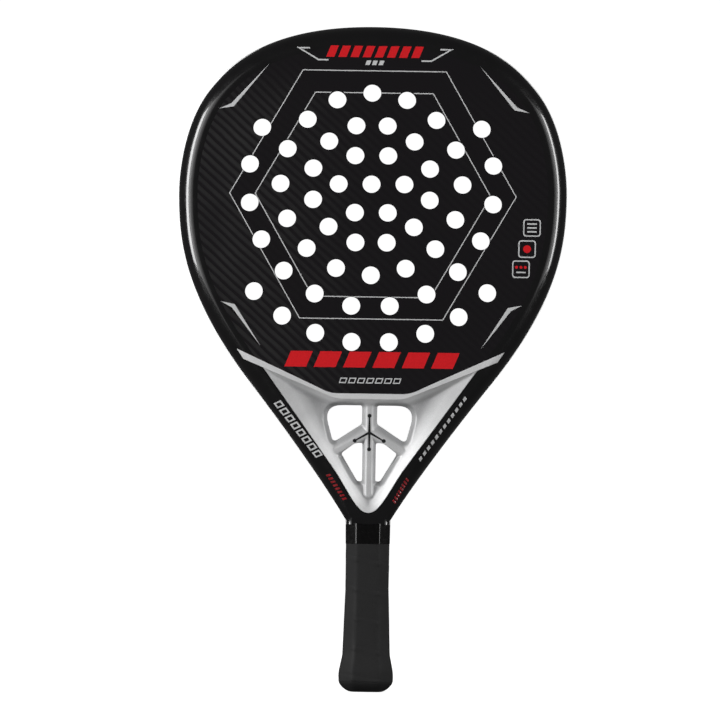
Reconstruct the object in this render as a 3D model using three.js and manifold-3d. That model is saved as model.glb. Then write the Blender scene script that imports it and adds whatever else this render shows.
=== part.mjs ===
// Padel racket: a hollow carbon frame with a drilled foam core, two face skins, a windowed throat
// insert and an octagonal wrapped handle. Millimetres, +Z along the racket from the butt to the
// crown, X across the face, the front face towards -Y. The origin is the centre of the butt's end.
import * as THREE from "three";
import { mergeVertices } from "three/addons/utils/BufferGeometryUtils.js";
import Module from "manifold-3d";

const wasm = await Module();
wasm.setup();

// ---- driving dimensions -------------------------------------------------------------------------
const LENGTH = 444.4;
const HEAD_HALF_WIDTH = 130;
const THICKNESS = 38;
const GAP = 0.3; // clearance left between pieces that touch

// Head outline, right half: the crown, the widest point, the shoulder of the leg and the neck.
// Each is a joint of Bezier curves. Its lean is the outline's angle from upright there, and below
// and above are the lengths of its handles.
const CROWN_FLAT_HALF = 73.9;
const CROWN_CORNER = { x: 108.9, z: 402.9, lean: -39, below: 30.3, above: 16.5 };
const WIDEST = { z: 333.4, below: 33, above: 9.4 };
const SHOULDER = { x: 81.2, z: 206.8, lean: 38.2, below: 60, above: 72.5 };
const NECK = { x: 14.4, z: 115.5, lean: 30, above: 12 };
const LEG_STEPS = 10; // straight steps up each leg
const HEAD_STEPS = [10, 7, 8]; // and along the cheek, the side and the crown
const TUBE_WIDTH = 13;
const TUBE_WALL = 1.5;
const TUBE_EDGE_RADIUS = 8;

// The legs get thinner between the shoulder and the neck.
const TAPER_TOP_Z = 215;
const TAPER_BOTTOM_Z = 118;
const NECK_THICKNESS = 31;

// Rings of holes in the face, all round one centre. Angles are in degrees from straight up. The
// drilled pattern sits a little to one side and a little turned.
const HOLE_RADIUS = 6.2;
const HOLE_CENTRE = { x: -1, z: 339.4 };
const HOLE_TURN = -0.35;
const HOLE_SIDES = 8;
const HOLE_RINGS = [
  { radius: 0, first: 0, step: 360, count: 1 },
  { radius: 22, first: 30, step: 60, count: 6 },
  { radius: 40.4, first: 15, step: 30, count: 12 },
  { radius: 60.9, first: 0, step: 22.5, count: 16 },
  { radius: 82.4, first: 63, step: 18, count: 14 },
  { radius: 106.3, first: 132.75, step: 13.5, count: 8 },
];

// Face lamination and the bridge tube that closes the head's lower edge under the skins.
const SKIN = 1.3;
const BRIDGE_HEIGHT = 11;
const BRIDGE_WALL = 1.5;

// The throat insert's upper edge is a shallow V with a level middle.
const BAND_FLAT_HALF = 26.5;
const BAND_Z = 199.5;
const BAND_SLOPE = 0.456;
const BAND_HEIGHT = 4.5;

// The throat opening between the legs, a V with a round bottom that turns into straight sides.
const V_BOTTOM = { z: 119.6, handle: 7.5 };
const V_TURN = { x: 12, z: 131 };
const V_MIDDLE = { x: 22.3, z: 147 };

// The sunk web inside the insert, with two upper and two lower windows and a three-way rib.
const WEB_HALF_THICKNESS = 9;
const RIB_HALF_THICKNESS = 11.5;
const RIB_WIDTH = 4;
const HUB_Z = 173.4;
const RIB_REACH = 25.5;
const RIB_FOOT_Z = 131;
const RIB_DROOP = 30;
const POCKET = { topX: 34, topZ: 192.5, footX: 7, footZ: 136.5, slope: 3, depth: 8 };

// Black inlay set in the ribs: four arms with a round stud at each tip.
const INLAY_WIDTH = 0.9;
const INLAY_DOT_RADIUS = 1.3;
const INLAY_ARM = 11.2;
const INLAY_DEPTH = 0.8;

// Octagonal handle. Half sizes are across (x) and through (y) the racket.
const HANDLE_TOP_Z = 111.5;
const HANDLE_BASE_Z = 14;
const SHAFT = { x: 14.3, y: 16.5, bevel: 6.8 };
const GRIP_THICKNESS = 1.6;
const SLEEVE_WALL = 1;
const LEG_GAP_HALF = 3.6;
const HANDLE_TOP_X = 14.5;
const TAPE_THICKNESS = 0.35;
const TAPE_BOTTOM_Z = 99;

// Butt cap, with two holes for a wrist cord and a chamber above them for its knot.
const GRIP_START_Z = 7;
const SKIRT_TOP_Z = 25;
const CAP_FLOOR = 4;
const CORD_HOLE_RADIUS = 3.3;
const CORD_HOLE_OFFSET = 6.5;
const STAPLE_WIRE = 1;
const STAPLE_WIDTH = 8;
const STAPLE_SEAT = { x: 17.1, z: 18 };
const STAPLE_LEG = 2.6;

// A bevel at 45 degrees gets shorter by this much for each millimetre that its octagon shrinks.
const BEVEL_LOSS = 2 - Math.SQRT2;

const radians = THREE.MathUtils.degToRad;
const lerp = THREE.MathUtils.lerp;

// ---- materials ----------------------------------------------------------------------------------
function finish(color, roughness, metalness) {
  return new THREE.MeshStandardMaterial({ color, roughness, metalness });
}

const glossBlack = finish(0x0c0c0e, 0.18, 0.1);
const carbonWeave = finish(0x16161a, 0.3, 0.1);
const foamBlack = finish(0x26272a, 0.9, 0);
const bareCarbon = finish(0x1d1d20, 0.6, 0);
const silverPaint = finish(0xc9cbcf, 0.28, 0.8);
const blackInlay = finish(0x101012, 0.5, 0);
const blackPlastic = finish(0x18181a, 0.55, 0);
const gripRubber = finish(0x2b2c2e, 0.85, 0);
const blackTape = finish(0x131315, 0.45, 0);
const steelWire = finish(0xb4b6b8, 0.3, 1);

// ---- solids -------------------------------------------------------------------------------------
function solidOf(geometry) {
  const bare = new THREE.BufferGeometry();
  bare.setAttribute("position", geometry.getAttribute("position"));
  bare.setIndex(geometry.index);
  const merged = mergeVertices(bare, 1e-4);
  const vertProperties = merged.getAttribute("position").array;
  const triVerts = new Uint32Array(merged.index.array);
  return new wasm.Manifold(new wasm.Mesh({ numProp: 3, vertProperties, triVerts }));
}

function geometryOf(solid) {
  const mesh = solid.getMesh();
  const geometry = new THREE.BufferGeometry();
  geometry.setAttribute("position", new THREE.BufferAttribute(mesh.vertProperties, 3));
  geometry.setIndex(new THREE.BufferAttribute(mesh.triVerts, 1));
  return geometry;
}

function join(first, ...others) {
  const whole = others.reduce((sum, part) => sum.add(solidOf(part)), solidOf(first));
  return geometryOf(whole);
}

function cut(body, ...tools) {
  const rest = tools.reduce((left, tool) => left.subtract(solidOf(tool)), solidOf(body));
  return geometryOf(rest);
}

// A flat plate with a shape drawn in X and Z, between two values of Y.
function plate(shape, lowY, highY, options = {}) {
  const settings = { depth: highY - lowY, bevelEnabled: false, curveSegments: 8, ...options };
  const geometry = new THREE.ExtrudeGeometry(shape, settings);
  return geometry.rotateX(Math.PI / 2).translate(0, highY, 0);
}

function block(width, depth, height) {
  return new THREE.BoxGeometry(width, depth, height);
}

// A skin through closed rings of equal point count. A looped run joins its last ring to its first;
// an open run gets a flat fan over each end.
function loft(rings, looped) {
  const size = rings[0].length;
  const positions = rings.flat().flatMap((p) => [p.x, p.y, p.z]);
  const index = [];
  const spans = looped ? rings.length : rings.length - 1;
  for (let i = 0; i < spans; i += 1) {
    const here = i * size;
    const there = ((i + 1) % rings.length) * size;
    for (let j = 0; j < size; j += 1) {
      const next = (j + 1) % size;
      index.push(here + j, here + next, there + next);
      index.push(here + j, there + next, there + j);
    }
  }
  if (!looped) {
    const last = (rings.length - 1) * size;
    for (let j = 1; j < size - 1; j += 1) {
      index.push(0, j + 1, j);
      index.push(last, last + j, last + j + 1);
    }
  }
  const geometry = new THREE.BufferGeometry();
  geometry.setAttribute("position", new THREE.Float32BufferAttribute(positions, 3));
  geometry.setIndex(index);
  return geometry;
}

function hollowLoft(outerRings, innerRings) {
  return loft([...outerRings, ...innerRings.slice().reverse()], true);
}

// ---- outlines -----------------------------------------------------------------------------------
function ahead(point, distance) {
  const angle = radians(point.lean);
  return [point.x + distance * Math.sin(angle), point.z + distance * Math.cos(angle)];
}

function above(point) {
  return ahead(point, point.above);
}

function below(point) {
  return ahead(point, -point.below);
}

// The outer edge of the racket's right half, from the neck up to the middle of the crown.
function rightOutline() {
  const path = new THREE.Path();
  path.moveTo(NECK.x, NECK.z);
  const widestX = HEAD_HALF_WIDTH;
  const lowHandle = [widestX, WIDEST.z - WIDEST.below];
  const highHandle = [widestX, WIDEST.z + WIDEST.above];
  path.bezierCurveTo(...above(NECK), ...below(SHOULDER), SHOULDER.x, SHOULDER.z);
  path.bezierCurveTo(...above(SHOULDER), ...lowHandle, widestX, WIDEST.z);
  path.bezierCurveTo(...highHandle, ...below(CROWN_CORNER), CROWN_CORNER.x, CROWN_CORNER.z);
  path.bezierCurveTo(...above(CROWN_CORNER), CROWN_FLAT_HALF, LENGTH, 0, LENGTH);
  return path;
}

// The right side of the opening between the legs, from its round bottom up to the shoulder.
function throatEdge() {
  const top = insideOf(SHOULDER, TUBE_WIDTH);
  const path = new THREE.Path();
  path.moveTo(0, V_BOTTOM.z);
  path.bezierCurveTo(V_BOTTOM.handle, V_BOTTOM.z, V_TURN.x, V_TURN.z, V_MIDDLE.x, V_MIDDLE.z);
  path.lineTo(top.x, top.y);
  return path;
}

// Points up the right side of the opening, moved into the opening by a distance.
function throatPoints(inset) {
  const edge = throatEdge();
  return Array.from({ length: LEG_STEPS }, (_, i) => {
    const at = edge.getPointAt(i / LEG_STEPS);
    const along = edge.getTangentAt(i / LEG_STEPS);
    return new THREE.Vector2(at.x - along.y * inset, at.y + along.x * inset);
  });
}

// The point inside the frame, at a right angle to the outline and a distance from it.
function insideOf(point, distance) {
  const angle = radians(point.lean);
  return new THREE.Vector2(point.x - distance * Math.cos(angle), point.z + distance * Math.sin(angle));
}

// Points of the outline moved inwards by a distance, from the shoulder up to the crown.
function headPoints(inset) {
  const curves = rightOutline().curves.slice(1);
  return curves.flatMap((curve, number) => {
    const steps = HEAD_STEPS[number];
    const first = number === 0 ? 0 : 1;
    return Array.from({ length: steps + 1 - first }, (_, i) => {
      const at = curve.getPoint((i + first) / steps);
      const along = curve.getTangent((i + first) / steps);
      return new THREE.Vector2(at.x - along.y * inset, at.y + along.x * inset);
    });
  });
}

function bandTop(x) {
  return BAND_Z + BAND_SLOPE * Math.max(0, Math.abs(x) - BAND_FLAT_HALF);
}

function mirrored(points) {
  return points.map((p) => new THREE.Vector2(-p.x, p.y)).reverse();
}

// Where a line parallel to the throat insert's top meets the inside of the frame.
function faceCorner(inset, raise) {
  const side = headPoints(inset);
  const over = (p) => p.y - bandTop(p.x) - raise;
  const above = side.findIndex((p) => over(p) > 0);
  const [low, high] = [side[above - 1], side[above]];
  return low.clone().lerp(high, over(low) / (over(low) - over(high)));
}

// The face inside the frame, closed below by such a line.
function faceShape(inset, raise) {
  const corner = faceCorner(inset, raise);
  const side = headPoints(inset).filter((p) => p.y > corner.y + 1);
  const knee = new THREE.Vector2(BAND_FLAT_HALF, BAND_Z + raise);
  const right = [knee, corner, ...side];
  right.at(-1).x = 0;
  return new THREE.Shape([...right, ...mirrored(right.slice(0, -1))]);
}

function holeCentres() {
  return HOLE_RINGS.flatMap(({ radius, first, step, count }) =>
    Array.from({ length: count }, (_, i) => {
      const angle = radians(first + step * i + HOLE_TURN);
      return [HOLE_CENTRE.x + radius * Math.sin(angle), HOLE_CENTRE.z + radius * Math.cos(angle)];
    }),
  );
}

function drilled(shape) {
  for (const [x, z] of holeCentres()) {
    shape.holes.push(new THREE.Path().absarc(x, z, HOLE_RADIUS, 0, 2 * Math.PI, true));
  }
  return shape;
}

// A closed outline with each corner cut back and rounded by a quadratic curve.
function roundedShape(corners) {
  const shape = new THREE.Shape();
  corners.forEach(([x, z, radius], i) => {
    const corner = new THREE.Vector2(x, z);
    const before = new THREE.Vector2(...corners.at(i - 1).slice(0, 2));
    const after = new THREE.Vector2(...corners[(i + 1) % corners.length].slice(0, 2));
    const start = corner.clone().add(before.sub(corner).setLength(radius));
    const end = corner.clone().add(after.sub(corner).setLength(radius));
    if (i === 0) shape.moveTo(start.x, start.y);
    else shape.lineTo(start.x, start.y);
    shape.quadraticCurveTo(corner.x, corner.y, end.x, end.y);
  });
  shape.closePath();
  return shape;
}

// ---- frame --------------------------------------------------------------------------------------
function halfThicknessAt(z) {
  const rise = THREE.MathUtils.clamp((z - TAPER_BOTTOM_Z) / (TAPER_TOP_Z - TAPER_BOTTOM_Z), 0, 1);
  return lerp(NECK_THICKNESS, THICKNESS, rise) / 2;
}

// One ring of the tube: a box section with its two outer edges rounded, or bevelled in the handle.
function tubeRing({ outer, inner, half, edge, round }, inset) {
  const inward = inner.clone().sub(outer);
  const width = inward.length();
  inward.normalize();
  const radius = Math.max(edge - inset, 1);
  const steps = [0, 0.5, 1];
  const corner = steps.map((step) => {
    const angle = (step * Math.PI) / 2;
    const arc = [1 - Math.sin(angle), 1 - Math.cos(angle)];
    return [inset + radius * lerp(1 - step, arc[0], round), inset + radius * lerp(step, arc[1], round)];
  });
  const front = [[width - inset, inset], ...corner].map(([u, v]) => [u, v - half]);
  const rear = front.map(([u, y]) => [u, -y]).reverse();
  return [...front, ...rear].map(([u, y]) => {
    const at = outer.clone().addScaledVector(inward, u);
    return new THREE.Vector3(at.x, y, at.y);
  });
}

// Stations of the right half of the frame tube, from the end inside the handle up to the crown.
function tubeStations() {
  const sleeve = sleeveSize(SLEEVE_WALL + GAP);
  const inHandle = { half: sleeve.y, edge: sleeve.bevel, round: 0 };
  const stations = [HANDLE_BASE_Z, HANDLE_TOP_Z - 8].map((z) => ({
    outer: new THREE.Vector2(sleeve.x, z),
    inner: new THREE.Vector2(LEG_GAP_HALF, z),
    ...inHandle,
  }));
  stations.push({
    outer: new THREE.Vector2(sleeve.x, HANDLE_TOP_Z - 1),
    inner: new THREE.Vector2(GAP / 2, HANDLE_TOP_Z + 1),
    ...inHandle,
  });
  const leg = rightOutline().curves[0];
  throatPoints(0).forEach((inner, i) => {
    const outer = leg.getPointAt(i / LEG_STEPS);
    inner.x = Math.max(inner.x, GAP / 2);
    const edge = lerp(sleeve.bevel, TUBE_EDGE_RADIUS, Math.min(1, (i + 1) / 4));
    stations.push({ outer, inner, half: halfThicknessAt(outer.y), edge, round: Math.min(1, i / 2) });
  });
  const rim = headPoints(0);
  const inside = headPoints(TUBE_WIDTH);
  rim.forEach((outer, i) => {
    const inner = inside[i];
    stations.push({ outer, inner, half: halfThicknessAt(outer.y), edge: TUBE_EDGE_RADIUS, round: 1 });
  });
  return stations;
}

function frameTube() {
  const right = tubeStations();
  const flip = (v) => new THREE.Vector2(-v.x, v.y);
  const left = right.slice(0, -1).map((s) => ({ ...s, outer: flip(s.outer), inner: flip(s.inner) }));
  const stations = [...right, ...left.reverse()];
  const outside = stations.map((station) => tubeRing(station, 0));
  const inside = stations.map((station) => tubeRing(station, TUBE_WALL));
  return hollowLoft(outside, inside);
}

// ---- head ---------------------------------------------------------------------------------------
const FACE_INSET = TUBE_WIDTH + GAP;
const CORE_HALF = THICKNESS / 2 - SKIN - GAP;

function headCore() {
  return plate(drilled(faceShape(FACE_INSET, BRIDGE_HEIGHT + 2 * GAP)), -CORE_HALF, CORE_HALF, {
    curveSegments: HOLE_SIDES / 2,
  });
}

function faceSkin(side) {
  const outer = (side * THICKNESS) / 2;
  const inner = outer - side * SKIN;
  const shape = drilled(faceShape(FACE_INSET, GAP));
  return plate(shape, Math.min(outer, inner), Math.max(outer, inner), { curveSegments: HOLE_SIDES / 2 });
}

// The bridge runs under the skins along the insert's top edge, and its open ends face the frame.
function bridgeTube() {
  const line = (raise) => {
    const knee = new THREE.Vector2(BAND_FLAT_HALF, BAND_Z + raise);
    const right = [knee, faceCorner(FACE_INSET, raise)];
    return [...mirrored(right), ...right];
  };
  const rings = (inset) => {
    const low = line(GAP + inset);
    const high = line(BRIDGE_HEIGHT - inset);
    const half = CORE_HALF - inset;
    return low.map((p, i) => [
      new THREE.Vector3(p.x, -half, p.y),
      new THREE.Vector3(p.x, half, p.y),
      new THREE.Vector3(high[i].x, half, high[i].y),
      new THREE.Vector3(high[i].x, -half, high[i].y),
    ]);
  };
  return hollowLoft(rings(0), rings(BRIDGE_WALL));
}

// ---- throat insert ------------------------------------------------------------------------------
function insertShape() {
  const knee = new THREE.Vector2(BAND_FLAT_HALF, BAND_Z);
  const right = [...throatPoints(GAP), faceCorner(FACE_INSET, 0), knee];
  right[0].x = 0;
  return new THREE.Shape([...right, ...mirrored(right.slice(1))]);
}

// Corners of the windows' right-hand pair: across, up, and how far each corner is rounded back.
const UPPER_WINDOW = [
  [5.1, 179.0, 1.5],
  [24.2, 166.4, 3.5],
  [31, 191.4, 13],
  [5.1, 191.4, 1.5],
];
const LOWER_WINDOW = [
  [4.5, 140.6, 1.4],
  [7.6, 140.6, 1.4],
  [18.6, 159.2, 1.5],
  [9.4, 166.3, 2.5],
  [4.5, 166.3, 1],
];

function windows() {
  const flip = (corners) => corners.map(([x, z, radius]) => [-x, z, radius]).reverse();
  const outlines = [UPPER_WINDOW, LOWER_WINDOW, flip(UPPER_WINDOW), flip(LOWER_WINDOW)];
  const coarse = { curveSegments: 4 };
  return outlines.map((corners) => plate(roundedShape(corners), -THICKNESS, THICKNESS, coarse));
}

// A sloping-sided pocket that sinks the web below one face of the insert.
function pocket(side) {
  const outline = roundedShape([
    [-POCKET.topX, POCKET.topZ, 8],
    [-POCKET.footX, POCKET.footZ, 4],
    [POCKET.footX, POCKET.footZ, 4],
    [POCKET.topX, POCKET.topZ, 8],
  ]);
  const bevel = { depth: 10, bevelEnabled: true, bevelThickness: POCKET.depth, bevelSegments: 1 };
  bevel.bevelSize = POCKET.slope;
  const plug = new THREE.ExtrudeGeometry(outline, { ...bevel, curveSegments: 3 });
  plug.translate(0, 0, bevel.bevelThickness + WEB_HALF_THICKNESS).rotateX(Math.PI / 2);
  return side < 0 ? plug : plug.rotateZ(Math.PI);
}

function rib(length, angle, foot) {
  const bar = block(RIB_WIDTH, 2 * RIB_HALF_THICKNESS, length).translate(0, 0, length / 2);
  return bar.rotateY(radians(angle)).translate(0, 0, foot);
}

// The V's faces are planes that lean in with the legs.
function leaned(geometry) {
  const position = geometry.getAttribute("position");
  for (let i = 0; i < position.count; i += 1) {
    const scale = halfThicknessAt(position.getZ(i)) / (THICKNESS / 2);
    position.setY(i, position.getY(i) * scale);
  }
  return geometry;
}

function throatInsert() {
  const body = leaned(plate(insertShape(), -THICKNESS / 2, THICKNESS / 2));
  const web = cut(body, pocket(-1), pocket(1));
  const upright = rib(BAND_Z - RIB_FOOT_Z - BAND_HEIGHT / 2, 0, RIB_FOOT_Z);
  const arms = [-1, 1].map((side) => rib(RIB_REACH, side * (90 + RIB_DROOP), HUB_Z));
  const grooves = [-1, 1].map((side) => inlay(side, GAP));
  return cut(join(web, upright, ...arms), ...windows(), ...grooves);
}

// One black inlay: the pinstripe cross on the front (side -1) or the rear (side 1) of the ribs.
function inlay(side, clearance) {
  const outer = RIB_HALF_THICKNESS;
  const inner = outer - INLAY_DEPTH - clearance;
  const reach = outer + (clearance ? 1 : 0);
  const width = INLAY_WIDTH + 2 * clearance;
  const arms = [0, 180, 90 + RIB_DROOP, -90 - RIB_DROOP].map((angle) => {
    const bar = block(width, reach - inner, INLAY_ARM).translate(0, 0, INLAY_ARM / 2);
    const dot = new THREE.CylinderGeometry(INLAY_DOT_RADIUS + clearance, INLAY_DOT_RADIUS + clearance,
      reach - inner, 10).translate(0, 0, INLAY_ARM);
    return join(bar, dot).rotateY(radians(angle));
  });
  return join(...arms).translate(0, (side * (reach + inner)) / 2, HUB_Z);
}

// ---- handle -------------------------------------------------------------------------------------
function octagonRing(x, y, bevel, z) {
  const quarter = [
    [x, y - bevel],
    [x - bevel, y],
  ];
  const half = [...quarter, ...quarter.map(([a, b]) => [-a, b]).reverse()];
  const full = [...half, ...half.map(([a, b]) => [-a, -b])];
  return full.map(([a, b]) => new THREE.Vector3(a, b, z));
}

// The sleeve's octagon moved inwards by an amount.
function sleeveSize(inset) {
  const back = GRIP_THICKNESS + GAP + inset;
  return { x: SHAFT.x - back, y: SHAFT.y - back, bevel: SHAFT.bevel - back * BEVEL_LOSS };
}

// Heights and half widths of the wrapped handle's outside, from the flared butt up to the neck.
const HANDLE_PROFILE = [
  [GRIP_START_Z, 17.9],
  [12, 18.06],
  [STAPLE_SEAT.z, STAPLE_SEAT.x],
  [25, 15.6],
  [36, 14.7],
  [50, SHAFT.x],
  [80, 14.45],
  [HANDLE_TOP_Z, HANDLE_TOP_X],
];

const FLARE = { x: 18.06, y: 18.9 };

// Through the racket the flare is less than across it, because the shaft is already deeper.
function depthFor(x) {
  const flare = THREE.MathUtils.clamp((x - SHAFT.x) / (FLARE.x - SHAFT.x), 0, 1);
  return lerp(SHAFT.y, FLARE.y, flare) + Math.min(0, x - SHAFT.x);
}

function handleRing(x, z, inset) {
  const bevel = SHAFT.bevel * (x / SHAFT.x) - inset * BEVEL_LOSS;
  return octagonRing(x - inset, depthFor(x) - inset, bevel, z);
}

function baseGrip() {
  const outside = HANDLE_PROFILE.map(([z, x]) => handleRing(x, z, 0));
  const inside = HANDLE_PROFILE.map(([z, x]) => handleRing(x, z, GRIP_THICKNESS));
  return hollowLoft(outside, inside);
}

function finishingTape() {
  const heights = [TAPE_BOTTOM_Z, HANDLE_TOP_Z];
  const outside = heights.map((z) => handleRing(HANDLE_TOP_X, z, -GAP - TAPE_THICKNESS));
  const inside = heights.map((z) => handleRing(HANDLE_TOP_X, z, -GAP));
  return hollowLoft(outside, inside);
}

function handleSleeve() {
  const ring = (z, inset) => {
    const { x, y, bevel } = sleeveSize(inset);
    return octagonRing(x, y, bevel, z);
  };
  const heights = [HANDLE_BASE_Z, HANDLE_TOP_Z - 1];
  const shell = hollowLoft(heights.map((z) => ring(z, 0)), heights.map((z) => ring(z, SLEEVE_WALL)));
  return cut(shell, ...stapleHoles());
}

function handleCore() {
  const { y } = sleeveSize(SLEEVE_WALL + GAP);
  const height = HANDLE_TOP_Z - 9 - HANDLE_BASE_Z;
  const width = 2 * (LEG_GAP_HALF - GAP);
  return block(width, 2 * y, height).translate(0, 0, HANDLE_BASE_Z + height / 2);
}

// ---- butt cap -----------------------------------------------------------------------------------
function buttCap() {
  const shelfZ = GRIP_START_Z - GAP;
  const foot = [
    [0, 11],
    [1.6, 13.2],
    [4, 16],
    [shelfZ, 17.5],
  ];
  const underGrip = HANDLE_PROFILE.filter(([z]) => z > GRIP_START_Z && z <= SKIRT_TOP_Z);
  const skirt = [[shelfZ, HANDLE_PROFILE[0][1]], ...underGrip];
  const rings = [
    ...foot.map(([z, x]) => handleRing(x, z, 0)),
    ...skirt.map(([z, x]) => handleRing(x, z, GRIP_THICKNESS + GAP)),
  ];
  const { x, y, bevel } = sleeveSize(-GAP);
  const chamber = loft([CAP_FLOOR, SKIRT_TOP_Z + 1].map((z) => octagonRing(x, y, bevel, z)), false);
  const cordHoles = [-1, 1].map((side) =>
    new THREE.CylinderGeometry(CORD_HOLE_RADIUS, CORD_HOLE_RADIUS, 4 * CAP_FLOOR, 16)
      .rotateX(Math.PI / 2)
      .translate(side * CORD_HOLE_OFFSET, 0, 0),
  );
  return cut(loft(rings, false), chamber, ...cordHoles, ...stapleHoles());
}

// A staple's back lies on the cap's skirt and its two legs run in through the skirt and the sleeve.
function staple(side, clearance) {
  const wire = STAPLE_WIRE + 2 * clearance;
  const surface = depthFor(STAPLE_SEAT.x) - GRIP_THICKNESS - GAP;
  const lift = clearance ? 1 : 0;
  const legX = (STAPLE_WIDTH - STAPLE_WIRE) / 2;
  const legLength = STAPLE_LEG + clearance;
  const back = block(STAPLE_WIDTH + 2 * clearance, wire + lift, wire);
  back.translate(0, surface - STAPLE_WIRE / 2 + lift / 2, 0);
  const legY = surface - legLength / 2;
  const legs = [-legX, legX].map((x) => block(wire, legLength, wire).translate(x, legY, 0));
  const whole = join(back, ...legs).translate(0, 0, STAPLE_SEAT.z);
  return side > 0 ? whole : whole.rotateZ(Math.PI);
}

function stapleHoles() {
  return [-1, 1].map((side) => staple(side, GAP));
}

// ---- assembly -----------------------------------------------------------------------------------
const racket = new THREE.Group();
racket.name = "padel_racket";

function add(name, geometry, material) {
  const mesh = new THREE.Mesh(geometry, material);
  mesh.name = name;
  racket.add(mesh);
}

add("frame_tube", frameTube(), glossBlack);
add("bridge_tube", bridgeTube(), bareCarbon);
add("head_core", headCore(), foamBlack);
add("front_face", faceSkin(-1), carbonWeave);
add("rear_face", faceSkin(1), carbonWeave);
add("throat_insert", throatInsert(), silverPaint);
add("front_inlay", inlay(-1, 0), blackInlay);
add("rear_inlay", inlay(1, 0), blackInlay);
add("handle_core", handleCore(), foamBlack);
add("handle_sleeve", handleSleeve(), bareCarbon);
add("base_grip", baseGrip(), gripRubber);
add("finishing_tape", finishingTape(), blackTape);
add("butt_cap", buttCap(), blackPlastic);
add("front_staple", staple(-1, 0), steelWire);
add("rear_staple", staple(1, 0), steelWire);

export default racket;
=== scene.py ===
"""Looks of a padel racket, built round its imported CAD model.

Lengths in this script are millimetres until a mesh is made. X runs across the face, Z up from the
butt to the crown, and the front face looks towards -Y.
"""
import math

import bmesh
import bpy
import numpy as np
from mathutils import Matrix, Vector
from mathutils.bvhtree import BVHTree
from mathutils.geometry import delaunay_2d_cdt

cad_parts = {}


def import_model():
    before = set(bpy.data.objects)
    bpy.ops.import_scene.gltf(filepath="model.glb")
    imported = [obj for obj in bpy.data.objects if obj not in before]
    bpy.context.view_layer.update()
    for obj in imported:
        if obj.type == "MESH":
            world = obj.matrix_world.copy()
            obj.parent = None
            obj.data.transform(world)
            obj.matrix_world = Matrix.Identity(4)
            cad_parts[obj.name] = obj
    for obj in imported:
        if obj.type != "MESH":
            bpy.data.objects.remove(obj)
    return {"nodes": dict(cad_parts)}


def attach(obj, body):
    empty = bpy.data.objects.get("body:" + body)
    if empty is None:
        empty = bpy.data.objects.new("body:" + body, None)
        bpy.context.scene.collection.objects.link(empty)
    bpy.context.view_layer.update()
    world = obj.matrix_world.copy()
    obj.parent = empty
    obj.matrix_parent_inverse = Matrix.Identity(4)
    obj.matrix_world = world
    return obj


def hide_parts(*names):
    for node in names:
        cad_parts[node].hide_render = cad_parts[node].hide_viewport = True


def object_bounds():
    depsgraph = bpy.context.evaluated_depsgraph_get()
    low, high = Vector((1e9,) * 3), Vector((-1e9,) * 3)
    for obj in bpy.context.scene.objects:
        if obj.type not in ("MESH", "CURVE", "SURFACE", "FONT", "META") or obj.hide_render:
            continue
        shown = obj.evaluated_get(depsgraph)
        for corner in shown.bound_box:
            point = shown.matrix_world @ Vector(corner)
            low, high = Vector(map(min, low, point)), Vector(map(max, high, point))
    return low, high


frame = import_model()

cad_low, cad_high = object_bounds()
MM = 0.001

# ---- driving dimensions ----
LENGTH = cad_high.z / MM
HALF_WIDTH = cad_high.x / MM
HALF_THICKNESS = cad_high.y / MM

# Joints of the head's outline, right half: across, up, lean from upright, handles below and above.
NECK = (14.75, 114.4, 30, 0, 12)
SHOULDER = (81.2, 206.8, 38.2, 60, 72.5)
WIDEST = (HALF_WIDTH, 333.4, 0, 33, 9.4)
CROWN_CORNER = (108.9, 402.9, -39, 30.3, 16.5)
CROWN = (0, LENGTH, -90, 73.9, 0)
OUTLINE_STEPS = (40, 48, 26, 34)

# Frame tube: its section and how the legs get thinner towards the neck.
TUBE_WIDTH = 13
SHOULDER_WIDTH = 11
SHOULDER_DROP = 13
NECK_EDGE = 5
INNER_BEVEL = 0.03
TAPER_TOP_Z = 215
TAPER_BOTTOM_Z = 118
NECK_HALF_THICKNESS = 15.5
CHANNEL_DEPTH = 1.0
CHANNEL_HALF = 5.5
CHANNEL_LOW_Z = 262
CHANNEL_HIGH_Z = 404
CHANNEL_FADE = 26
NECK_BLEND_STEPS = 14

# Rings of holes: radius, first angle, step and count. Angles run from straight up, in degrees.
HOLE_CENTRE = (-1, 339.4)
HOLE_TURN = -0.35
HOLE_RINGS = (
    (0, 0, 360, 1),
    (22, 30, 60, 6),
    (40.4, 15, 30, 12),
    (60.9, 0, 22.5, 16),
    (82.4, 63, 18, 14),
    (106.3, 132.75, 13.5, 8),
)
HOLE_RADIUS = 6.0
HOLE_BEVEL = 0.2
HOLE_STEPS = 48
SKIN = 1.3
GAP = 0.05
CORE_SIDE_GAP = 0.3
CORE_RAISE = 11.6

# Throat opening, its cast insert and the band along the insert's top.
V_BOTTOM = (0, 119.6)
V_HANDLES = ((7.5, 119.6), (12, 131))
V_MIDDLE = (22.3, 147)
BAND_FLAT_HALF = 26.5
BAND_Z = 199.5
BAND_SLOPE = 0.456
LEDGE_FLAT_HALF = 22.5
LEDGE_Z = 195.7
LEDGE_SLOPE = 0.4125
KNEE_REACH = 5
TIP_LOW_X = 84.8
TIP_HIGH_X = 89.3
BAND_HEIGHT = 0.3
LOW_LAND_SLOPE = 0.72
HIGH_LAND_SLOPE = 0.34
LAND_LOW_Z = 138
LAND_HIGH_Z = 196
UNDER_BAND_SLOPE = 1.1
LAND_DEPTH = 5.5
FUNNEL = 2.9
RIB_DEPTH = 4.0
RIB_RIDGE_HALF = 1.8
HUB_Z = 173.4
RIB_REACH = 25.5
RIB_DROOP = 30
RIB_FOOT_Z = 132
INSERT_GRID = 0.7
INSERT_BEVEL = 0.3
INSERT_RIM_POINTS = 12
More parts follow.
